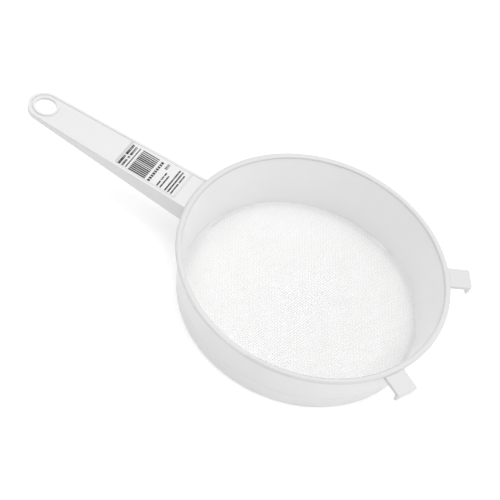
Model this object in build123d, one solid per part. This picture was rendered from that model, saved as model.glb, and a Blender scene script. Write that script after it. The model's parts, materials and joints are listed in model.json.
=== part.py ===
from build123d import *
import os

# Double sieve strainer, in millimetres.
# +Z is up, the bowl's axis is the Z axis, and z = 0 is the plane that the lower sieve stands on.
# The handle points along -X, and the two hooks stand out on the +X side.

# ---- bowl ------------------------------------------------------------------------------------
total_height = 53.0
foot_outer_radius = 99.7            # of the outer cone, carried down to z = 0
wall_top_outer_radius = 108.0       # of the outer cone, under the rim
skirt_wall = 1.2                    # the thin skirt of the bowl that the lower sieve slips over
skirt_end_height = 3.2              # lower end of that skirt
rim_overhang_outside = 2.0
rim_overhang_inside = 0.2
rim_thickness = 2.0
rim_round = 1.7

# ---- lower sieve -----------------------------------------------------------------------------
ring_height = 18.1
ring_wall = 1.3
ring_foot_round = 4.5
ring_floor_width = 5.7              # from the outer cone's foot in to the floor's opening
fit_gap = 0.3                       # all round, between the bowl and the lower sieve

# ---- sieve cloths ----------------------------------------------------------------------------
cloth_thickness = 0.3
coarse_cloth_margin = 0.35          # how far the cloth runs out under the skirt's end
coarse_weld_width = 1.3
coarse_weld_height = 0.6
fine_cloth_margin = 1.8             # how far the cloth runs out over the lower sieve's floor
fine_weld_width = 1.4
fine_weld_height = 0.4

# ---- handle ----------------------------------------------------------------------------------
handle_root_half_width = 18.0
handle_tip_radius = 14.4
handle_reach = 141.1                # from the top of the wall to the middle of the round end
handle_root_depth = 15.6
handle_tip_depth = 4.0
handle_plate = 2.2
handle_side_wall = 2.0
edge_bead_width = 2.4
edge_bead_height = 0.7
edge_bead_round = 0.3
hang_hole_radius = 8.6
hang_ring_width = 2.0
hang_ring_height = 0.8

# ---- hooks -----------------------------------------------------------------------------------
hook_left_angle = 31.5              # from the +X axis towards +Y
hook_right_angle = -28.5            # from the +X axis towards -Y
hook_half_width = 9.0
hook_plate = 3.2
hook_length = 20.0                  # from the top of the wall to the outer face
hook_drop = 8.8                     # from the plate's top to the tip
hook_tip_top = 4.2                  # tip's thickness at the plate
hook_tip_bottom = 2.2               # tip's thickness at its end
hook_draft = 1.4                    # how far the outer face leans in, top to tip
hook_corner_round = 1.5
hook_edge_round = 0.6

# ---- label -----------------------------------------------------------------------------------
label_length = 56.0
label_width = 27.0
label_thickness = 0.2
label_offset = 40.0                 # from the top of the wall to the label's middle

# ---- worked out from the sizes above ---------------------------------------------------------
rim_underside = total_height - rim_thickness
wall_slope = (wall_top_outer_radius - foot_outer_radius) / rim_underside
wall_thickness = skirt_wall + fit_gap + ring_wall
rim_outer_radius = wall_top_outer_radius + rim_overhang_outside
rim_inner_radius = wall_top_outer_radius - wall_thickness - rim_overhang_inside
ring_floor_inner_radius = foot_outer_radius - ring_floor_width
handle_tip_distance = wall_top_outer_radius + handle_reach
handle_tip_end = handle_tip_distance + handle_tip_radius
hook_outer_face = wall_top_outer_radius + hook_length
label_middle = wall_top_outer_radius + label_offset
trim_overlap = 8.0                  # how far a handle or hook starts inside the wall before its trim


def outer_radius(height):
    """Radius of the bowl's outer cone at a height."""
    return foot_outer_radius + wall_slope * height


def inner_radius(height):
    """Radius of the bowl's inner cone at a height."""
    return outer_radius(height) - wall_thickness


def rounded(outline, corner, radius):
    """A flat outline with the corner that is nearest to a point rounded."""
    return fillet(outline.vertices().sort_by_distance(Vector(*corner))[0], radius)


def turned(outline):
    """A solid of revolution about Z, from an outline whose x is the radius and y the height."""
    return revolve(Plane.XZ * outline, Axis.Z)


def washer(inner, outer, bottom, height):
    """A flat ring about the bowl's axis."""
    return Pos(0, 0, bottom) * extrude(Circle(outer) - Circle(inner), height)


def inside_of_bowl_wall():
    """The solid cone bounded by the bowl's outer face, which trims what grows out of the wall."""
    return turned(
        Polygon(
            (0, 0),
            (foot_outer_radius, 0),
            (wall_top_outer_radius, rim_underside),
            (0, rim_underside),
            align=None,
        )
    )


def ring_outline():
    """The lower sieve's band, turned in below as a narrow floor."""
    inner_corner = (outer_radius(ring_wall) - ring_wall, ring_wall)
    outline = Polygon(
        (ring_floor_inner_radius, 0),
        (foot_outer_radius, 0),
        (outer_radius(ring_height), ring_height),
        (outer_radius(ring_height) - ring_wall, ring_height),
        inner_corner,
        (ring_floor_inner_radius, ring_wall),
        align=None,
    )
    outline = rounded(outline, (foot_outer_radius, 0), ring_foot_round)
    return rounded(outline, inner_corner, ring_foot_round - ring_wall)


# ---- upper sieve -----------------------------------------------------------------------------
def basket_wall():
    """The tapered wall, stepped in below as a skirt that clears the lower sieve by the fit gap."""
    outline = Polygon(
        (inner_radius(rim_underside), rim_underside),
        (inner_radius(skirt_end_height), skirt_end_height),
        (outer_radius(skirt_end_height), skirt_end_height),
        (outer_radius(rim_underside), rim_underside),
        align=None,
    )
    return turned(outline - offset(ring_outline(), fit_gap))


def rim_bead():
    """The crowned rim, which overhangs the wall outside and a little inside."""
    outline = Polygon(
        (rim_inner_radius, rim_underside),
        (rim_outer_radius, rim_underside),
        (rim_outer_radius, total_height),
        (rim_inner_radius, total_height),
        align=None,
    )
    outline = rounded(outline, (rim_outer_radius, total_height), rim_round)
    outline = rounded(outline, (rim_inner_radius, total_height), rim_round)
    return turned(outline)


def coarse_mesh():
    """The upper cloth, a plain disc that runs out under the skirt's end."""
    radius = inner_radius(skirt_end_height) + coarse_cloth_margin
    return Pos(0, 0, skirt_end_height - cloth_thickness) * extrude(Circle(radius), cloth_thickness)


def coarse_mesh_weld():
    """The ring that holds the upper cloth against the skirt's end."""
    outer = inner_radius(skirt_end_height) + coarse_cloth_margin
    bottom = skirt_end_height - cloth_thickness - coarse_weld_height
    return washer(outer - coarse_weld_width, outer, bottom, coarse_weld_height)


# ---- lower sieve -----------------------------------------------------------------------------
def lower_sieve_ring():
    """The band that slips over the skirt and carries the lower cloth."""
    return turned(ring_outline())


def fine_mesh():
    """The lower cloth, a plain disc that lies on the lower sieve's floor."""
    radius = ring_floor_inner_radius + fine_cloth_margin
    return Pos(0, 0, ring_wall) * extrude(Circle(radius), cloth_thickness)


def fine_mesh_weld():
    """The ring that holds the lower cloth down on the floor."""
    outer = ring_floor_inner_radius + fine_cloth_margin
    return washer(outer - fine_weld_width, outer, ring_wall + cloth_thickness, fine_weld_height)


# ---- handle ----------------------------------------------------------------------------------
def handle_plan(inset):
    """The handle seen from above: tapered, with a round end, drawn in from its edge by the inset."""
    start = wall_top_outer_radius - trim_overlap
    taper = (handle_root_half_width - handle_tip_radius) / (handle_tip_distance - wall_top_outer_radius)
    start_half_width = handle_root_half_width + taper * trim_overlap - inset
    tip_half_width = handle_tip_radius - inset
    sides = Polygon(
        (-start, -start_half_width),
        (-start, start_half_width),
        (-handle_tip_distance, tip_half_width),
        (-handle_tip_distance, -tip_half_width),
        align=None,
    )
    return sides + Pos(-handle_tip_distance, 0) * Circle(tip_half_width)


def handle_side_profile():
    """A slab whose lower face slopes up from the root to the tip, wider than the handle."""
    start = wall_top_outer_radius - trim_overlap
    slope = (handle_root_depth - handle_tip_depth) / (handle_tip_distance - wall_top_outer_radius)
    outline = Polygon(
        (-start, rim_underside),
        (-handle_tip_end, rim_underside),
        (-handle_tip_end, rim_underside - handle_tip_depth),
        (-handle_tip_distance, rim_underside - handle_tip_depth),
        (-start, rim_underside - handle_root_depth - slope * trim_overlap),
        align=None,
    )
    return extrude(Plane.XZ * outline, 2 * handle_root_half_width, both=True)


def handle_channel():
    """The handle's top plate and side walls, open below, with the hole through its end."""
    deepest = handle_root_depth * 2
    body = Pos(0, 0, rim_underside - deepest) * extrude(handle_plan(0), deepest)
    body = body & handle_side_profile()
    hollow = Pos(0, 0, rim_underside - deepest) * extrude(handle_plan(handle_side_wall), deepest - handle_plate)
    hole = Pos(-handle_tip_distance, 0, rim_underside - handle_tip_depth) * extrude(
        Circle(hang_hole_radius), 2 * handle_tip_depth
    )
    return body - hollow - hole - inside_of_bowl_wall()


def handle_edge_bead():
    """The raised bead along both long edges and round the end."""
    bead = extrude(handle_plan(0) - handle_plan(edge_bead_width), edge_bead_height)
    bead = Pos(0, 0, rim_underside) * bead
    rim_keep_out = Pos(0, 0, rim_underside) * extrude(Circle(rim_outer_radius), total_height)
    bead = bead - rim_keep_out
    top_edges = bead.faces().sort_by(Axis.Z)[-1].edges().filter_by(
        lambda edge: edge.length > 2 * edge_bead_width
    )
    return fillet(top_edges, edge_bead_round)


def hang_hole_ring():
    """The raised ring round the hanging hole."""
    ring = Circle(hang_hole_radius + hang_ring_width) - Circle(hang_hole_radius)
    return Pos(-handle_tip_distance, 0, rim_underside) * extrude(ring, hang_ring_height)


def handle_label():
    """The flat film on top of the handle, between its two edge beads."""
    corner_height = rim_underside + label_thickness / 2
    return Pos(-label_middle, 0, corner_height) * Box(label_length, label_width, label_thickness)


# ---- hooks -----------------------------------------------------------------------------------
def hook(angle):
    """A flat lug under the rim that ends in a down-turned tip, turned to its place."""
    start = wall_top_outer_radius - trim_overlap
    underside = rim_underside - hook_plate
    tip_end = rim_underside - hook_drop
    outline = Polygon(
        (start, rim_underside),
        (hook_outer_face, rim_underside),
        (hook_outer_face - hook_draft, tip_end),
        (hook_outer_face - hook_draft - hook_tip_bottom, tip_end),
        (hook_outer_face - hook_tip_top, underside),
        (start, underside),
        align=None,
    )
    lug = extrude(Plane.XZ * outline, hook_half_width, both=True)
    corners = lug.faces().filter_by(lambda face: face.center().X > hook_outer_face - hook_draft).edges()
    corners = corners.filter_by(lambda edge: abs(edge.center().Y) > hook_half_width - hook_corner_round)
    lug = fillet(corners, hook_corner_round)
    top_edges = lug.faces().sort_by(Axis.Z)[-1].edges().filter_by(lambda edge: edge.center().X > start + 1)
    lug = fillet(top_edges, hook_edge_round)
    return Rot(0, 0, angle) * lug - inside_of_bowl_wall()


nodes = {
    "basket_wall": basket_wall(),
    "rim_bead": rim_bead(),
    "coarse_mesh": coarse_mesh(),
    "coarse_mesh_weld": coarse_mesh_weld(),
    "lower_sieve_ring": lower_sieve_ring(),
    "fine_mesh": fine_mesh(),
    "fine_mesh_weld": fine_mesh_weld(),
    "handle_channel": handle_channel(),
    "handle_edge_bead": handle_edge_bead(),
    "hang_hole_ring": hang_hole_ring(),
    "handle_label": handle_label(),
    "hook_left": hook(hook_left_angle),
    "hook_right": hook(hook_right_angle),
}

os.makedirs("parts", exist_ok=True)
for name, solid in nodes.items():
    export_step(solid, f"parts/{name}.step")
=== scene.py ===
import json
import math

import bmesh
import bpy
from bpy.props import FloatProperty, FloatVectorProperty, PointerProperty
from mathutils import Matrix, Vector


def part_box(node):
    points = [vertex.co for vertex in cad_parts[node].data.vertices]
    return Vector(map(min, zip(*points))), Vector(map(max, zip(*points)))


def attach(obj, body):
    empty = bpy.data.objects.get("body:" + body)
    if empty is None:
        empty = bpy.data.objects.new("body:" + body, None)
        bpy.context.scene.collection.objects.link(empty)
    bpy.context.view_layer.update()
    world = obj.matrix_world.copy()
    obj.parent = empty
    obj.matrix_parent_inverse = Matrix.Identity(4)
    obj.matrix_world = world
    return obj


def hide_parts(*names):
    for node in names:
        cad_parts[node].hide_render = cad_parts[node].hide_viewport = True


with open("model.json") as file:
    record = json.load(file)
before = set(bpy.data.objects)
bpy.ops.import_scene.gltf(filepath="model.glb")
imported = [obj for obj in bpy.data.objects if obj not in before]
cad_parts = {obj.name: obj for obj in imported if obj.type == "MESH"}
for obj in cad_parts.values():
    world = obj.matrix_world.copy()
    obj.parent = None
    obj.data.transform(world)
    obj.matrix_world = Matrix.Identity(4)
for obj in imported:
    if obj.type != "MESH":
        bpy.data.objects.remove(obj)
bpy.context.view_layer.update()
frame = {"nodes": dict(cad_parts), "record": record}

bl_info = {
    "name": "Double sieve strainer",
    "version": (1, 0, 0),
    "blender": (4, 5, 0),
    "location": "3D View > Sidebar > Strainer",
    "description": "Finishes a two-part plastic sieve: moulded plastic, woven cloths, label and studio",
    "category": "Object",
}

MM = 0.001
UPPER, LOWER = "upper_sieve", "lower_sieve"

# Sizes that the moulded pieces already have, repeated for what is laid on them.
HANDLE_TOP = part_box("handle_edge_bead")[0].z
TIP_RADIUS = 14.4 * MM
BEAD_WIDTH = 2.4 * MM
WALL_THICKNESS = 2.8 * MM
SKIRT_THICKNESS = 1.2 * MM
CLOTH_HOLD = 0.35 * MM              # how far the coarse cloth runs in under the wall

# The label: air under the film, steps across and along it where it can bend, and round its corners.
FILM_GAP = 0.02 * MM
FILM_CUTS_ACROSS = 24
FILM_CUTS_ALONG = 12
CORNER_STEPS = 6
FIRST_SEED = 3

# The film of melted thread ends along the wall. Its angles are in degrees, from the hooks' side.
SEAL_STEPS = 240
SEAL_MIDDLE = 189.0
SEAL_SPREAD = 20.0
SEAL_LEAST = 0.5 * MM
SEAL_MOST = 7.0 * MM
SEAL_THICKNESS = 0.15 * MM
SEAL_LIFT = 0.8                     # above the cloth's middle, in thread thicknesses
SEAL_SHARES = (0.0, 0.25, 0.5, 0.75, 1.0)

# How many waves to the metre each kind of mark has: moulded skin first, then thread, label and floor.
CLOUDS, SPECKS, RUBS, SCRATCHES, GRAIN, RIPPLE = 14.0, 900.0, 38.0, 260.0, 1600.0, 55.0
THREAD_TONE, THREAD_SKIN = 120.0, 2200.0
GLUE_PATCHES, INK_WEAR = 160.0, 900.0
FLOOR_TONE = 3.0
SCRATCH_STRETCH = (1.0, 9.0, 9.0)
PLASTIC_IOR, NYLON_IOR, FLOOR_IOR = 1.49, 1.53, 1.8
WHITE = (1.0, 1.0, 1.0, 1.0)

# A thread ends up to this many pitches past the cloth's edge, and none lies in the last of its radius.
THREAD_OVERRUN = 0.8
LAST_THREAD = 0.998

TOP_LIGHT_PLACE, TOP_LIGHT_SIZE = (0.0, 0.0, 1.6), (2.2, 2.2)
SIDE_LIGHT_PLACE, SIDE_LIGHT_SIZE = (1.3, -0.2, 0.5), (0.9, 0.9)
FLOOR_SIZE = 8.0
SENSOR_WIDTH = 36.0
VIEW_DEPTH = 20.0

# Sockets that share their name with others on their node, by number.
MIX_FACTOR, MIX_FIRST, MIX_SECOND, MIX_RESULT = 0, 6, 7, 2
RANDOM_NUMBER, RANDOM_CHOICE = 1, 3

# Printed rows, in millimetres: x, y from, y to, height, pitch, then shares: fill, uneven, gaps.
NAME_ROWS = [
    (-172.6, -12.0, 12.0, 2.1, 1.5, 0.80, 0.25, 0.12),
    (-169.5, -12.0, 12.0, 1.9, 1.3, 0.80, 0.3, 0.10),
    (-166.4, -12.0, 12.0, 1.0, 1.2, 0.86, 0.2, 0.04),
]
SMALL_ROWS = [
    (-145.2, -12.0, 12.5, 2.3, 2.7, 0.74, 0.15, 0.0),
    (-140.1, 6.5, 12.5, 2.4, 1.6, 0.60, 0.2, 0.0),
    (-137.3, -12.5, 4.0, 1.3, 0.9, 0.88, 0.2, 0.06),
    (-134.3, -12.5, 2.0, 1.3, 0.9, 0.88, 0.2, 0.06),
    (-129.9, -12.5, 13.0, 1.3, 0.9, 0.88, 0.2, 0.05),
    (-127.2, -12.5, 13.0, 1.3, 0.9, 0.88, 0.2, 0.05),
    (-124.5, -12.5, 10.0, 1.3, 0.9, 0.88, 0.2, 0.06),
]
BARS = [(-156.2, -12.2, 12.8, 15.4, 1.92, 0.60, 0.3, 0.0)]


# ---- nodes -----------------------------------------------------------------------------------
class Wire:
    """A socket that Python's operators join to new Math nodes."""

    def __init__(self, graph, socket):
        self.graph = graph
        self.socket = socket

    def maths(self, operation, *values):
        return self.graph.add("ShaderNodeMath", {"operation": operation}, values)

    def __add__(self, other):
        return self.maths("ADD", self, other)

    def __sub__(self, other):
        return self.maths("SUBTRACT", self, other)

    def __mul__(self, other):
        return self.maths("MULTIPLY", self, other)

    def __truediv__(self, other):
        return self.maths("DIVIDE", self, other)

    def __radd__(self, other):
        return self.maths("ADD", other, self)

    def __rsub__(self, other):
        return self.maths("SUBTRACT", other, self)

    def __rmul__(self, other):
        return self.maths("MULTIPLY", other, self)

    def __rtruediv__(self, other):
        return self.maths("DIVIDE", other, self)

    def __neg__(self):
        return self.maths("MULTIPLY", self, -1.0)

    def __pow__(self, other):
        return self.maths("POWER", self, other)

    def root(self):
        return self.maths("SQRT", self.at_least(0.0))

    def cosine(self):
        return self.maths("COSINE", self)

    def floor(self):
        return self.maths("FLOOR", self)

    def size(self):
        return self.maths("ABSOLUTE", self)

    def at_least(self, other):
        return self.maths("MAXIMUM", self, other)

    def at_most(self, other):
        return self.maths("MINIMUM", self, other)

    def above(self, other):
        return self.maths("GREATER_THAN", self, other)


class Graph:
    """A node tree that is filled by code: one method adds any node."""

    def __init__(self, tree):
        self.tree = tree

    def node(self, kind, settings=None, values=()):
        """Adds a node: its settings first, then the values or wires of its input sockets."""
        made = self.tree.nodes.new(kind)
        for name, value in (settings or {}).items():
            setattr(made, name, value)
        pairs = values.items() if isinstance(values, dict) else enumerate(values)
        for key, value in pairs:
            if isinstance(value, Wire):
                self.tree.links.new(value.socket, made.inputs[key])
            else:
                made.inputs[key].default_value = value
        return made

    def add(self, kind, settings=None, values=(), output=0):
        """Adds a node and returns one of its outputs as a wire."""
        return Wire(self, self.node(kind, settings, values).outputs[output])


def ramp(graph, value, stops):
    """A smooth grey ramp through (position, brightness) stops."""
    made = graph.node("ShaderNodeValToRGB", {}, {"Fac": value})
    elements = made.color_ramp.elements
    while len(elements) < len(stops):
        elements.new(0.5)
    for element, (position, level) in zip(elements, stops):
        element.position = position
        element.color = (level, level, level, 1.0)
    return Wire(graph, made.outputs["Color"])


def noise(graph, place, scale, detail, roughness=0.5):
    """Fractal noise, 0 to 1, with the scale in waves per metre."""
    values = {"Vector": place, "Scale": scale, "Detail": detail, "Roughness": roughness}
    return graph.add("ShaderNodeTexNoise", {}, values)


def stretched(graph, place, scale):
    """The place with its axes scaled one by one, so that a pattern is drawn out."""
    return graph.add("ShaderNodeMapping", {}, {"Vector": place, "Scale": scale})


def tinted(graph, colour, shade):
    """A colour made darker or lighter by a wire whose middle value is 1."""
    shades = graph.add("ShaderNodeCombineColor", {}, [shade, shade, shade])
    settings = {"data_type": "RGBA", "blend_type": "MULTIPLY"}
    values = {MIX_FACTOR: 1.0, MIX_FIRST: (*colour, 1.0), MIX_SECOND: shades}
    return graph.add("ShaderNodeMix", settings, values, MIX_RESULT)


# ---- materials -------------------------------------------------------------------------------
def new_material(name):
    """An empty material, its graph, its shader and the object's own coordinates."""
    material = bpy.data.materials.new(name)
    material.use_nodes = True
    material.node_tree.nodes.clear()
    graph = Graph(material.node_tree)
    shader = graph.node("ShaderNodeBsdfPrincipled")
    graph.node("ShaderNodeOutputMaterial", {}, {"Surface": Wire(graph, shader.outputs["BSDF"])})
    place = Wire(graph, graph.node("ShaderNodeTexCoord").outputs["Object"])
    return material, graph, shader, place


def feed(graph, shader, name, wire):
    """Joins a wire to one of the shader's inputs."""
    graph.tree.links.new(wire.socket, shader.inputs[name])


def emboss(graph, shader, strength, distance, height):
    """Joins a height to the shader's normal through a Bump node."""
    bump = {"Strength": strength, "Distance": distance, "Height": height}
    feed(graph, shader, "Normal", graph.add("ShaderNodeBump", {}, bump))


def inside_of_wall(graph, place):
    """1 on the bowl wall's inner face, 0 on its outer face, from the wall's own flare: the mask for the
    light painted on the inner face.
    """
    low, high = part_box("basket_wall")
    split = graph.node("ShaderNodeSeparateXYZ", {}, [place])
    x, y, z = (Wire(graph, split.outputs[axis]) for axis in "XYZ")
    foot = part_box("coarse_mesh")[1].y - CLOTH_HOLD
    flare = (high.y - WALL_THICKNESS - foot) / (high.z - low.z)
    core = (z - low.z) * flare + (foot + SKIRT_THICKNESS / 2)
    return 1.0 - (x * x + y * y).root().above(core)


def moulded_plastic(name, colour, rough, glow, depth, painted_inner_light=0.0):
    """Milky polypropylene: cloudy tone, satin skin with fine grain, rubbed patches and hair scratches, and
    where asked a painted light that makes the wall's inner face lighter.
    """
    material, graph, shader, place = new_material(name)
    clouds = noise(graph, place, CLOUDS, 2.0)
    specks = noise(graph, place, SPECKS, 2.0)
    shade = 1.0 + (clouds - 0.5) * 0.03 + (specks - 0.5) * 0.012
    # Painted light: the wall's inner face is made lighter, standing in for light that comes through the
    # thin wall and bounces inside the bowl.
    if painted_inner_light:
        shade = shade + inside_of_wall(graph, place) * painted_inner_light
    feed(graph, shader, "Base Color", tinted(graph, colour, shade))
    rubbed = ramp(graph, noise(graph, place, RUBS, 4.0, 0.6), [(0.45, 0.0), (0.7, 1.0)])
    drawn = stretched(graph, place, SCRATCH_STRETCH)
    scratches = ramp(graph, noise(graph, drawn, SCRATCHES, 1.0), [(0.68, 0.0), (0.74, 1.0)])
    feed(graph, shader, "Roughness", rough + rubbed * 0.06 + scratches * 0.12)
    grain = noise(graph, place, GRAIN, 2.0, 0.6)
    ripple = noise(graph, place, RIPPLE, 1.0)
    emboss(graph, shader, 0.16, 0.6 * MM, grain * 0.35 + ripple * 1.0 - scratches * 0.15)
    shader.inputs["IOR"].default_value = PLASTIC_IOR
    shader.inputs["Subsurface Weight"].default_value = glow
    shader.inputs["Subsurface Radius"].default_value = (1.0, 0.98, 0.94)
    shader.inputs["Subsurface Scale"].default_value = depth
    return material


def nylon(name, colour, rough, through):
    """Clear-white thread: slightly uneven tone, a soft gloss, and a faint painted glow that stands in for
    light coming up from below.
    """
    material, graph, shader, place = new_material(name)
    uneven = noise(graph, place, THREAD_TONE, 2.0)
    fine = noise(graph, place, THREAD_SKIN, 1.0)
    shade = 1.0 + (uneven - 0.5) * 0.02 + (fine - 0.5) * 0.02
    feed(graph, shader, "Base Color", tinted(graph, colour, shade))
    feed(graph, shader, "Roughness", rough + uneven * 0.12)
    emboss(graph, shader, 0.1, 0.1 * MM, fine)
    shader.inputs["IOR"].default_value = NYLON_IOR
    # Painted light: a faint glow of the thread's own, standing in for light that would come up through the
    # clear nylon.
    shader.inputs["Emission Color"].default_value = WHITE
    shader.inputs["Emission Strength"].default_value = through
    return material


def label_stock(name, colour):
    """Matt film: faint cloudiness where the glue has taken, and a soft waviness."""
    material, graph, shader, place = new_material(name)
    glue = noise(graph, place, GLUE_PATCHES, 3.0, 0.6)
    feed(graph, shader, "Base Color", tinted(graph, colour, 1.0 + (glue - 0.5) * 0.03))
    feed(graph, shader, "Roughness", 0.42 + glue * 0.14)
    emboss(graph, shader, 0.12, 0.2 * MM, glue)
    shader.inputs["Coat Roughness"].default_value = 0.3
    return material


def print_ink(name, colour):
    """Black print with slightly broken coverage."""
    material, graph, shader, place = new_material(name)
    worn = noise(graph, place, INK_WEAR, 3.0, 0.7)
    feed(graph, shader, "Base Color", tinted(graph, colour, 0.8 + worn * 0.4))
    feed(graph, shader, "Roughness", 0.45 + worn * 0.2)
    return material


def floor_material(name, colour, glow):
    """Plain pale tabletop that gives a little light of its own."""
    material, graph, shader, place = new_material(name)
    soft = noise(graph, place, FLOOR_TONE, 2.0)
    feed(graph, shader, "Base Color", tinted(graph, colour, 1.0 + (soft - 0.5) * 0.01))
    feed(graph, shader, "Roughness", 0.12 + soft * 0.04)
    shader.inputs["IOR"].default_value = FLOOR_IOR
    shader.inputs["Emission Color"].default_value = WHITE
    shader.inputs["Emission Strength"].default_value = glow
    return material


# ---- geometry --------------------------------------------------------------------------------
def link(obj):
    """Puts an object into the scene."""
    bpy.context.scene.collection.objects.link(obj)
    return obj


def new_geometry_tree(name, inputs):
    """A Geometry Nodes tree with named inputs, and the wires that read them."""
    tree = bpy.data.node_groups.new(name, "GeometryNodeTree")
    tree.interface.new_socket("Geometry", in_out="OUTPUT", socket_type="NodeSocketGeometry")
    for label, kind in inputs:
        tree.interface.new_socket(label, in_out="INPUT", socket_type=kind)
    graph = Graph(tree)
    entry = tree.nodes.new("NodeGroupInput")
    wires = {label: Wire(graph, entry.outputs[label]) for label, kind in inputs}
    return graph, wires


def end_tree(graph, geometry, material):
    """Ends a tree in Realize Instances and Set Material."""
    real = graph.add("GeometryNodeRealizeInstances", {}, {"Geometry": geometry})
    finished = graph.add("GeometryNodeSetMaterial", {}, {"Geometry": real, "Material": material})
    graph.node("NodeGroupOutput", {}, {0: finished})
    return graph.tree


def baked(name, tree, values):
    """Runs a tree once and keeps its result as a plain mesh object."""
    host = link(bpy.data.objects.new(name + "_host", bpy.data.meshes.new(name + "_host")))
    modifier = host.modifiers.new("nodes", "NODES")
    modifier.node_group = tree
    for item in tree.interface.items_tree:
        if item.in_out == "INPUT" and item.name in values:
            modifier[item.identifier] = values[item.name]
    evaluated = host.evaluated_get(bpy.context.evaluated_depsgraph_get())
    mesh = bpy.data.meshes.new_from_object(evaluated)
    mesh.name = name
    mesh.materials.clear()
    mesh.materials.append(values["Material"])
    mesh.polygons.foreach_set("material_index", [0] * len(mesh.polygons))
    bpy.data.objects.remove(host)
    if not len(mesh.polygons):
        raise RuntimeError(f"{name}: the tree made no faces")
    return link(bpy.data.objects.new(name, mesh))


def thread_tree():
    """Parallel crimped threads that fill a round, sagging cloth: one direction of a plain weave."""
    graph, wires = new_geometry_tree(
        "woven_threads",
        [
            ("Radius", "NodeSocketFloat"),
            ("Pitch", "NodeSocketFloat"),
            ("Width", "NodeSocketFloat"),
            ("Thickness", "NodeSocketFloat"),
            ("Side", "NodeSocketFloat"),
            ("Sag", "NodeSocketFloat"),
            ("Shoulder", "NodeSocketFloat"),
            ("Bow", "NodeSocketFloat"),
            ("Height", "NodeSocketFloat"),
            ("Turn", "NodeSocketFloat"),
            ("Material", "NodeSocketMaterial"),
        ],
    )
    radius, pitch = wires["Radius"], wires["Pitch"]
    half = (radius / pitch).floor() + 1.0
    count = half * 2.0 + 1.0
    whole = graph.add("FunctionNodeFloatToInt", {"rounding_mode": "ROUND"}, [count])
    first = half * pitch * -1.0

    def line(x_share, y_share):
        """Points one pitch apart, along X or along Y."""
        start = graph.add("ShaderNodeCombineXYZ", {}, [first * x_share, first * y_share, 0.0])
        step = graph.add("ShaderNodeCombineXYZ", {}, [pitch * x_share, pitch * y_share, 0.0])
        values = {"Count": whole, "Start Location": start, "Offset": step}
        return graph.add("GeometryNodeMeshLine", {"mode": "OFFSET"}, values)

    values = {"Points": line(0.0, 1.0), "Instance": line(1.0, 0.0)}
    rows = graph.add("GeometryNodeInstanceOnPoints", {}, values)
    lattice = graph.add("GeometryNodeRealizeInstances", {}, {"Geometry": rows})
    split = graph.node("ShaderNodeSeparateXYZ", {}, [graph.add("GeometryNodeInputPosition")])
    x, straight = Wire(graph, split.outputs["X"]), Wire(graph, split.outputs["Y"])
    y = straight - wires["Bow"] * (x / radius) ** 2.0 * (straight / radius).at_least(0.0) ** 4.0
    chord = (radius * radius - y * y).root()
    past_end = (x.size() - chord).above(pitch * THREAD_OVERRUN)
    past_side = y.size().above(radius * LAST_THREAD)
    values = {"Geometry": lattice, "Selection": past_end.at_least(past_side)}
    kept = graph.add("GeometryNodeDeleteGeometry", {"domain": "POINT"}, values)
    crimp = ((x + straight) * math.pi / pitch).cosine()
    end_x = x.at_least(-chord).at_most(chord)
    out = ((end_x * end_x + y * y).root() / radius).at_most(1.0)
    sag = wires["Sag"] * (1.0 - out ** wires["Shoulder"])
    z = wires["Height"] + crimp * wires["Side"] * wires["Thickness"] * 0.5 - sag
    place = graph.add("ShaderNodeCombineXYZ", {}, [end_x, y, z])
    shaped = graph.add("GeometryNodeSetPosition", {}, {"Geometry": kept, "Position": place})
    angle = graph.add("ShaderNodeCombineXYZ", {}, [0.0, 0.0, wires["Turn"]])
    turned = graph.add("GeometryNodeTransform", {}, {"Geometry": shaped, "Rotation": angle})
    curves = graph.add("GeometryNodeMeshToCurve", {}, {"Mesh": turned})
    level = graph.add("GeometryNodeSetCurveNormal", {"mode": "Z_UP"}, {"Curve": curves})
    circle = graph.add("GeometryNodeCurvePrimitiveCircle", {}, {"Resolution": 3, "Radius": 1.0})
    # A triangle with its point up: 1.5 radii high and root 3 radii wide.
    scale = [wires["Thickness"] / 1.5, wires["Width"] / math.sqrt(3.0), 1.0]
    flatness = graph.add("ShaderNodeCombineXYZ", {}, scale)
    section = graph.add("GeometryNodeTransform", {}, {"Geometry": circle, "Scale": flatness})
    values = {"Curve": level, "Profile Curve": section, "Fill Caps": True}
    tubes = graph.add("GeometryNodeCurveToMesh", {}, values)
    values = {"Geometry": tubes, "Shade Smooth": False}
    flat = graph.add("GeometryNodeSetShadeSmooth", {}, values)
    return end_tree(graph, flat, wires["Material"])


def joined(name, parts):
    """One object from several, each already at the origin."""
    mesh = bmesh.new()
    for part in parts:
        mesh.from_mesh(part.data)
    data = bpy.data.meshes.new(name)
    mesh.to_mesh(data)
    mesh.free()
    data.materials.append(parts[0].data.materials[0])
    for part in parts:
        bpy.data.objects.remove(part)
    return link(bpy.data.objects.new(name, data))


def cloth_threads(name, material, settings, node, width, side, turn, bow=0.0):
    """One direction of threads for a node's cloth. Side is 1 or -1: which way its waves start."""
    low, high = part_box(node)
    values = {
        "Radius": high.x,
        "Pitch": settings.pitch,
        "Width": width,
        "Thickness": settings.thickness,
        "Side": side,
        "Sag": settings.sag,
        "Shoulder": settings.shoulder,
        "Bow": bow,
        "Height": (low.z + high.z) / 2,
        "Turn": turn,
        "Material": material,
    }
    tree = bpy.data.node_groups.get("woven_threads") or thread_tree()
    return baked(name, tree, values)


def thickened(name, shape, thickness, material, smooth):
    """A closed sheet of even thickness, from an open one."""
    bmesh.ops.solidify(shape, geom=shape.faces[:], thickness=thickness)
    bmesh.ops.recalc_face_normals(shape, faces=shape.faces[:])
    data = bpy.data.meshes.new(name)
    shape.to_mesh(data)
    shape.free()
    data.materials.append(material)
    for face in data.polygons:
        face.use_smooth = smooth
    return link(bpy.data.objects.new(name, data))


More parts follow.
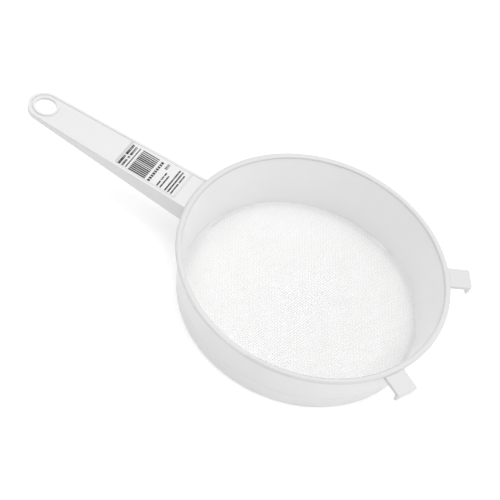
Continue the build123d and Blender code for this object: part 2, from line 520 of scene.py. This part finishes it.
def sealed_edge(material, settings):
    """Thread ends melted into a smooth film along the wall, widest under the handle."""
    low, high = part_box("coarse_mesh")
    radius, level = high.x, (low.z + high.z) / 2 + settings.thickness * SEAL_LIFT
    shape, rings = bmesh.new(), []
    for step in range(SEAL_STEPS):
        angle = math.radians(360.0 * step / SEAL_STEPS)
        off = (math.degrees(angle) - SEAL_MIDDLE + 180.0) % 360.0 - 180.0
        width = SEAL_LEAST + SEAL_MOST * math.exp(-((off / SEAL_SPREAD) ** 2))
        row = []
        for share in SEAL_SHARES:
            out = radius - width * share
            drop = settings.sag * (1.0 - (out / radius) ** settings.shoulder)
            row.append(shape.verts.new((out * math.cos(angle), out * math.sin(angle), level - drop)))
        rings.append(row)
    for row, following in zip(rings, rings[1:] + rings[:1]):
        for edge in range(len(SEAL_SHARES) - 1):
            shape.faces.new((row[edge], following[edge], following[edge + 1], row[edge + 1]))
    return thickened("coarse_cloth_edge", shape, SEAL_THICKNESS, material, smooth=False)


def print_tree():
    """A row of small printed blocks of uneven width, with gaps between groups."""
    graph, wires = new_geometry_tree(
        "printed_row",
        [
            ("Length", "NodeSocketFloat"),
            ("Height", "NodeSocketFloat"),
            ("Pitch", "NodeSocketFloat"),
            ("Fill", "NodeSocketFloat"),
            ("Uneven", "NodeSocketFloat"),
            ("Gaps", "NodeSocketFloat"),
            ("Ink", "NodeSocketFloat"),
            ("Seed", "NodeSocketInt"),
            ("Material", "NodeSocketMaterial"),
        ],
    )
    pitch = wires["Pitch"]
    whole = wires["Length"] / pitch
    count = graph.add("FunctionNodeFloatToInt", {"rounding_mode": "ROUND"}, [whole])
    start = graph.add("ShaderNodeCombineXYZ", {}, [0.0, wires["Length"] * -0.5, 0.0])
    step = graph.add("ShaderNodeCombineXYZ", {}, [0.0, pitch, 0.0])
    values = {"Count": count, "Start Location": start, "Offset": step}
    line = graph.add("GeometryNodeMeshLine", {"mode": "OFFSET"}, values)
    values = {"Probability": wires["Gaps"], "Seed": wires["Seed"]}
    gap = graph.add("FunctionNodeRandomValue", {"data_type": "BOOLEAN"}, values, RANDOM_CHOICE)
    values = {"Geometry": line, "Selection": gap}
    kept = graph.add("GeometryNodeDeleteGeometry", {"domain": "POINT"}, values)
    size = graph.add("ShaderNodeCombineXYZ", {}, [wires["Height"], pitch * wires["Fill"], wires["Ink"]])
    block = graph.add("GeometryNodeMeshCube", {}, {"Size": size})
    settings, values = {"data_type": "FLOAT"}, {"Seed": wires["Seed"]}
    spread = graph.add("FunctionNodeRandomValue", settings, values, RANDOM_NUMBER)
    wide = 1.0 + (spread * 2.0 - 1.0) * wires["Uneven"]
    scale = graph.add("ShaderNodeCombineXYZ", {}, [1.0, wide, 1.0])
    values = {"Points": kept, "Instance": block, "Scale": scale}
    blocks = graph.add("GeometryNodeInstanceOnPoints", {}, values)
    return end_tree(graph, blocks, wires["Material"])


def half_width(x):
    """Half the handle's width at a place along it."""
    low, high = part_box("handle_edge_bead")
    tip = low.x + TIP_RADIUS
    return TIP_RADIUS + (high.y - TIP_RADIUS) * (x - tip) / (high.x - tip)


def cut(shape, point, normal):
    """Divides a sheet along a plane, so that it can bend there."""
    everything = shape.verts[:] + shape.edges[:] + shape.faces[:]
    bmesh.ops.bisect_plane(shape, geom=everything, plane_co=point, plane_no=normal)


def film_outline(shape, start, end, label):
    """The label's flat outline with round corners: it tapers as the handle does."""
    radius = label.corner
    corners = []
    for x, side, first in ((start, -1, 180), (end, -1, 270), (end, 1, 0), (start, 1, 90)):
        near_edge, far_edge = label.near_margin - half_width(x), half_width(x) - label.far_margin
        edge = near_edge if side < 0 else far_edge
        inward = radius if x == start else -radius
        centre = Vector((x + inward, edge - side * radius, 0.0))
        for step in range(CORNER_STEPS + 1):
            angle = math.radians(first + 90 / CORNER_STEPS * step)
            rim = Vector((math.cos(angle), math.sin(angle), 0.0)) * radius
            corners.append(shape.verts.new(centre + rim))
    shape.faces.new(corners)


def label_film(material, label):
    """A rounded sheet that lies on the plate and climbs the far edge bead."""
    low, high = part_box("handle_label")
    middle = (low.x + high.x) / 2
    start, end = middle - label.size / 2, middle + label.size / 2
    shape = bmesh.new()
    film_outline(shape, start, end, label)
    width = 2 * half_width(start) - label.near_margin - label.far_margin
    along_far_edge = Vector((half_width(end) - half_width(start), start - end, 0.0)).normalized()
    for number in range(1, FILM_CUTS_ACROSS):
        share = number / FILM_CUTS_ACROSS
        foot = Vector((start, label.near_margin - half_width(start) + share * width, 0.0))
        cut(shape, foot, along_far_edge if share > 0.5 else Vector((0.0, -1.0, 0.0)))
    for number in range(1, FILM_CUTS_ALONG):
        foot = Vector((start + (end - start) * number / FILM_CUTS_ALONG, 0.0, 0.0))
        cut(shape, foot, Vector((1.0, 0.0, 0.0)))
    plate = low.z
    for vertex in shape.verts:
        bead = half_width(vertex.co.x) - BEAD_WIDTH
        climb = min(1.0, max(0.0, (vertex.co.y - bead + label.tent) / label.tent))
        climb = climb * climb * (3.0 - 2.0 * climb)
        vertex.co.z = plate + label.thickness + FILM_GAP + (HANDLE_TOP - plate) * climb
    return thickened("label_film", shape, label.thickness, material, smooth=True)


def printed(name, material, label, rows):
    """Rows of blocks, joined into one piece."""
    tree = bpy.data.node_groups.get("printed_row") or print_tree()
    parts = []
    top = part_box("handle_label")[0].z + label.thickness + FILM_GAP + label.ink / 2
    for number, (x, first, last, height, pitch, fill, uneven, gaps) in enumerate(rows):
        values = {
            "Length": (last - first) * MM,
            "Height": height * MM,
            "Pitch": pitch * MM,
            "Fill": fill,
            "Uneven": uneven,
            "Gaps": gaps,
            "Ink": label.ink,
            "Seed": number + FIRST_SEED,
            "Material": material,
        }
        row = baked(f"{name}_{number}", tree, values)
        row.data.transform(Matrix.Translation((x * MM, (first + last) / 2 * MM, top)))
        parts.append(row)
    return joined(name, parts)


# ---- sizes and colours -----------------------------------------------------------------------
def length(name, description, millimetres):
    """A length whose default is given in millimetres."""
    return FloatProperty(name=name, description=description, default=millimetres * MM, unit="LENGTH")


def slant(name, description, degrees):
    """An angle whose default is given in degrees."""
    return FloatProperty(
        name=name, description=description, default=math.radians(degrees), subtype="ANGLE"
    )


def grey(name, description, level):
    """A colour whose default is a plain grey."""
    return FloatVectorProperty(
        name=name, description=description, default=(level, level, level), subtype="COLOR"
    )


def fraction(name, description, default):
    """A number from 0 to 1."""
    return FloatProperty(name=name, description=description, default=default, min=0.0, max=1.0)


def power(name, description, watts):
    """A lamp's power in watts."""
    return FloatProperty(name=name, description=description, default=watts, unit="POWER")


class CoarseCloth(bpy.types.PropertyGroup):
    pitch: length("Pitch", "Thread to thread", 1.8)
    warp: length("Warp", "Width of the broad threads", 1.3)
    weft: length("Weft", "Width of the threads across", 1.05)
    thickness: length("Thickness", "Thread height", 0.44)
    sag: length("Sag", "Drop of the middle", 1.2)
    shoulder: FloatProperty(name="Shoulder", description="How sharply the edge drops", default=5.0)
    bow: length("Bow", "Threads' curve by the handle", 30.0)
    turn: slant("Turn", "Warp direction", -17)


class FineCloth(bpy.types.PropertyGroup):
    pitch: length("Pitch", "Thread to thread", 1.0)
    width: length("Width", "Thread width", 0.72)
    thickness: length("Thickness", "Thread height", 0.4)
    sag: length("Sag", "Drop of the middle", 0.7)
    shoulder: FloatProperty(name="Shoulder", description="How sharply the edge drops", default=5.0)
    turn: slant("Turn", "Warp direction", 9)


class PlasticLook(bpy.types.PropertyGroup):
    colour: grey("Colour", "Milky plastic", 0.69)
    # Painted shade: the rim and hooks get a darker copy of the same plastic, standing in for the shade on
    # them.
    edge: grey("Edge", "Rim and hooks", 0.635)
    # Painted light: the wall is a lighter copy of the same plastic, standing in for light that comes
    # through the thin wall; its glow from scattering inside the wall is real.
    wall: grey("Wall", "Bowl wall, thin enough to glow", 0.72)
    band: grey("Band", "Lower sieve's plastic", 0.74)
    cloth: grey("Cloth", "Nylon thread", 0.99)
    seal: grey("Seal", "Melted thread ends", 0.95)
    roughness: fraction("Roughness", "Satin of the moulded skin", 0.36)
    band_roughness: fraction("Band roughness", "Satin of the lower sieve", 0.41)
    thick_glow: fraction("Thick glow", "Light that scatters inside thick pieces", 0.25)
    wall_glow: fraction("Wall glow", "Light that scatters inside the wall", 1.0)
    band_glow: fraction("Band glow", "Light that scatters inside the lower sieve", 0.5)
    # Painted light: how much lighter the wall's inner face is painted than its outer face.
    inside: fraction("Inside", "How much brighter the wall is inside than outside", 0.23)
    depth: length("Depth", "How far light scatters in the wall and thick pieces", 1.0)
    band_depth: length("Band depth", "How far light scatters in the lower sieve", 2.0)
    # Painted light: the cloths' own faint glow, standing in for light coming up through them.
    through: fraction("Through", "Light that comes up through the cloths", 0.006)


class LabelSizes(bpy.types.PropertyGroup):
    size: length("Size", "Along the handle", 56.0)
    near_margin: length("Near margin", "Film edge to the near side of the handle", 2.9)
    far_margin: length("Far margin", "Film edge to the far side of the handle", 0.7)
    corner: length("Corner", "Corner radius", 1.5)
    tent: length("Tent", "Where the film leaves the plate before the bead", 1.2)
    thickness: length("Thickness", "Film thickness", 0.12)
    ink: length("Ink", "Ink thickness", 0.03)
    film: grey("Film", "Label film", 0.695)
    print_colour: grey("Print", "Ink colour", 0.02)


class Studio(bpy.types.PropertyGroup):
    azimuth: slant("Azimuth", "Camera round the object", 12.6)
    elevation: slant("Elevation", "Camera above the floor", 50.75)
    roll: slant("Roll", "Lean of the picture", 20.6)
    distance: length("Distance", "Camera to the aim point", 1238.0)
    aim: FloatVectorProperty(
        name="Aim",
        description="Point in the middle of the picture",
        default=(-0.0510, -0.0043, 0.030),
        subtype="TRANSLATION",
    )
    lens: FloatProperty(name="Lens", description="Focal length in millimetres", default=113.2)
    floor: grey("Floor", "Tabletop", 0.93)
    floor_glow: fraction("Floor glow", "Light that the tabletop itself gives", 0.25)
    sky: fraction("Sky", "Strength of the white surroundings", 0.58)
    top_power: power("Top light", "Soft light overhead", 25.5)
    side_power: power("Side light", "Soft light on the hooks' side", 2.6)


# ---- operators -------------------------------------------------------------------------------
class STRAINER_OT_plastic(bpy.types.Operator):
    """Give the moulded pieces their milky plastic"""

    bl_idname = "strainer.plastic"
    bl_label = "Moulded plastic"

    def execute(self, context):
        look = context.scene.strainer_plastic
        name, rough, depth = "milky_polypropylene", look.roughness, look.depth
        thick = moulded_plastic(name, look.colour, rough, look.thick_glow, depth)
        # Painted shade: a darker copy of the plastic for the rim and hooks.
        edge = moulded_plastic(name + "_edge", look.edge, rough, look.thick_glow, depth)
        # Painted light: a lighter copy of the plastic for the wall, with its inner face painted lighter
        # still.
        wall = moulded_plastic(name + "_wall", look.wall, rough, look.wall_glow, depth, look.inside)
        rough, depth = look.band_roughness, look.band_depth
        band = moulded_plastic(name + "_band", look.band, rough, look.band_glow, depth)
        # The rim and hooks take the darker copy with painted shade, and the wall takes the lighter copy
        # with painted light.
        lit_and_shaded_copies = {"basket_wall": wall, "rim_bead": edge, "hook_left": edge, "hook_right": edge}
        lower_nodes = frame["record"]["behaviour"]["bodies"][LOWER]
        for node, obj in frame["nodes"].items():
            obj.data.materials.clear()
            obj.data.materials.append(band if node in lower_nodes else lit_and_shaded_copies.get(node, thick))
        return {"FINISHED"}


class STRAINER_OT_coarse_cloth(bpy.types.Operator):
    """Weave the upper sieve's coarse cloth"""

    bl_idname = "strainer.coarse_cloth"
    bl_label = "Coarse cloth"

    def execute(self, context):
        scene = context.scene
        settings, look = scene.strainer_coarse, scene.strainer_plastic
        material = nylon("coarse_nylon", look.cloth, 0.3, look.through)
        across = settings.turn + math.pi / 2
        warp = cloth_threads("warp", material, settings, "coarse_mesh", settings.warp, 1.0, settings.turn)
        weft = cloth_threads(
            "weft", material, settings, "coarse_mesh", settings.weft, -1.0, across, settings.bow
        )
        cloth = joined("coarse_cloth", [warp, weft])
        seal = sealed_edge(nylon("sealed_nylon", look.seal, 0.4, 0.0), settings)
        for piece in (cloth, seal):
            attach(piece, UPPER)
        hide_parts("coarse_mesh")
        return {"FINISHED"}


class STRAINER_OT_fine_cloth(bpy.types.Operator):
    """Weave the lower sieve's fine cloth"""

    bl_idname = "strainer.fine_cloth"
    bl_label = "Fine cloth"

    def execute(self, context):
        scene = context.scene
        settings, look = scene.strainer_fine, scene.strainer_plastic
        material = nylon("fine_nylon", look.cloth, 0.35, look.through)
        across = settings.turn + math.pi / 2
        width = settings.width
        warp = cloth_threads("fine_cloth_warp", material, settings, "fine_mesh", width, 1.0, settings.turn)
        weft = cloth_threads("fine_cloth_weft", material, settings, "fine_mesh", width, -1.0, across)
        for piece in (warp, weft):
            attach(piece, LOWER)
        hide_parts("fine_mesh")
        return {"FINISHED"}


class STRAINER_OT_label(bpy.types.Operator):
    """Lay the printed label on the handle"""

    bl_idname = "strainer.label"
    bl_label = "Label"

    def execute(self, context):
        label = context.scene.strainer_label
        film = label_film(label_stock("label_film_stock", label.film), label)
        ink = print_ink("label_ink", label.print_colour)
        bars = printed("label_bars", ink, label, BARS)
        rows = printed("label_print", ink, label, NAME_ROWS + SMALL_ROWS)
        for piece in (film, bars, rows):
            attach(piece, UPPER)
        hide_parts("handle_label")
        return {"FINISHED"}


class STRAINER_OT_stage(bpy.types.Operator):
    """Set up the pale floor, the soft lights and the camera"""

    bl_idname = "strainer.stage"
    bl_label = "Studio"

    def execute(self, context):
        scene = context.scene
        studio = scene.strainer_studio
        bpy.ops.mesh.primitive_plane_add(size=FLOOR_SIZE)
        floor = context.object
        floor.name = "floor"
        floor.data.materials.append(floor_material("pale_floor", studio.floor, studio.floor_glow))
        world = bpy.data.worlds.new("soft_white")
        world.use_nodes = True
        background = world.node_tree.nodes["Background"]
        background.inputs["Color"].default_value = WHITE
        background.inputs["Strength"].default_value = studio.sky
        scene.world = world
        self.light("top_light", TOP_LIGHT_PLACE, TOP_LIGHT_SIZE, studio.top_power)
        self.light("side_light", SIDE_LIGHT_PLACE, SIDE_LIGHT_SIZE, studio.side_power)
        scene.view_settings.view_transform = "Standard"
        self.camera(scene, studio)
        return {"FINISHED"}

    def light(self, name, place, size, watts):
        """Adds a soft rectangular light that faces the middle of the floor."""
        data = bpy.data.lights.new(name, "AREA")
        data.shape = "RECTANGLE"
        data.size, data.size_y = size
        data.energy = watts
        lamp = link(bpy.data.objects.new(name, data))
        lamp.location = place
        lamp.rotation_mode = "QUATERNION"
        lamp.rotation_quaternion = (-Vector(place)).to_track_quat("-Z", "Y")

    def camera(self, scene, studio):
        """Adds the camera, at its distance from the aim point."""
        azimuth, elevation = studio.azimuth, studio.elevation
        out = math.cos(elevation)
        back = Vector((math.sin(azimuth) * out, -math.cos(azimuth) * out, math.sin(elevation)))
        level = (-back).to_track_quat("-Z", "Y").to_matrix().to_4x4()
        data = bpy.data.cameras.new("camera")
        data.lens = studio.lens
        data.sensor_width = SENSOR_WIDTH
        data.clip_end = VIEW_DEPTH
        camera = link(bpy.data.objects.new("camera", data))
        place = Matrix.Translation(Vector(studio.aim) + back * studio.distance)
        camera.matrix_world = place @ level @ Matrix.Rotation(studio.roll, 4, "Z")
        scene.camera = camera


class STRAINER_PT_panel(bpy.types.Panel):
    bl_label = "Double sieve strainer"
    bl_idname = "STRAINER_PT_panel"
    bl_space_type = "VIEW_3D"
    bl_region_type = "UI"
    bl_category = "Strainer"

    def draw(self, context):
        layout = self.layout
        for group, operator in STEPS:
            box = layout.box()
            settings = getattr(context.scene, group)
            for name in settings.bl_rna.properties.keys():
                if name not in ("rna_type", "name"):
                    box.prop(settings, name)
            box.operator(operator)


GROUPS = {
    "strainer_plastic": PlasticLook,
    "strainer_coarse": CoarseCloth,
    "strainer_fine": FineCloth,
    "strainer_label": LabelSizes,
    "strainer_studio": Studio,
}
STEPS = [
    ("strainer_plastic", "strainer.plastic"),
    ("strainer_coarse", "strainer.coarse_cloth"),
    ("strainer_fine", "strainer.fine_cloth"),
    ("strainer_label", "strainer.label"),
    ("strainer_studio", "strainer.stage"),
]
CLASSES = [
    CoarseCloth,
    FineCloth,
    PlasticLook,
    LabelSizes,
    Studio,
    STRAINER_OT_plastic,
    STRAINER_OT_coarse_cloth,
    STRAINER_OT_fine_cloth,
    STRAINER_OT_label,
    STRAINER_OT_stage,
    STRAINER_PT_panel,
]


def register():
    for cls in CLASSES:
        bpy.utils.register_class(cls)
    for name, group in GROUPS.items():
        setattr(bpy.types.Scene, name, PointerProperty(type=group))


def unregister():
    for name in GROUPS:
        delattr(bpy.types.Scene, name)
    for cls in reversed(CLASSES):
        bpy.utils.unregister_class(cls)


def main():
    register()
    bpy.ops.strainer.plastic()
    bpy.ops.strainer.coarse_cloth()
    bpy.ops.strainer.fine_cloth()
    bpy.ops.strainer.label()
    bpy.ops.strainer.stage()


if __name__ == "__main__":
    main()
